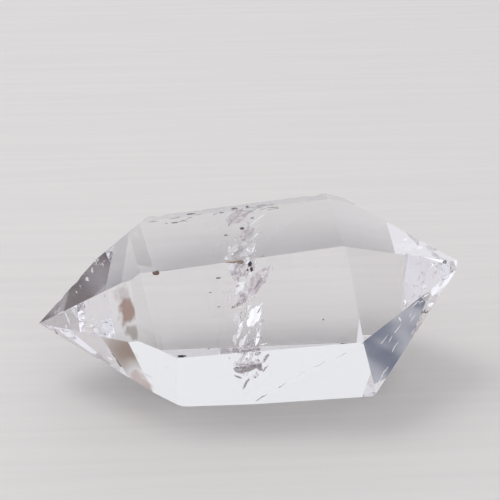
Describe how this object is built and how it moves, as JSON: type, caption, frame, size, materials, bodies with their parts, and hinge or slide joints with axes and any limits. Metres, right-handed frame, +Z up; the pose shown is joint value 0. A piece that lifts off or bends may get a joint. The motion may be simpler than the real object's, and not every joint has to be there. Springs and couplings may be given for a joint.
{
  "type": "double terminated quartz point",
  "caption": "Clear natural quartz crystal, a tapering six-sided prism with a pointed end at each side, lying on one of its long faces.",
  "frame": {"origin": "under the middle of the crystal's box, on its resting face", "axes": "+X along the crystal toward the broad blunt end, +Z up from the surface it lies on, -Y is the front seen in the picture"},
  "size_m": [0.08, 0.0426, 0.0333],
  "materials": {
    "clear_quartz": "clear colourless quartz with polished-looking flat faces, a cracked veil across the middle and a frosted tip"
  },
  "bodies": {
    "root": {"quartz_point": "clear_quartz"}
  },
  "joints": []
}
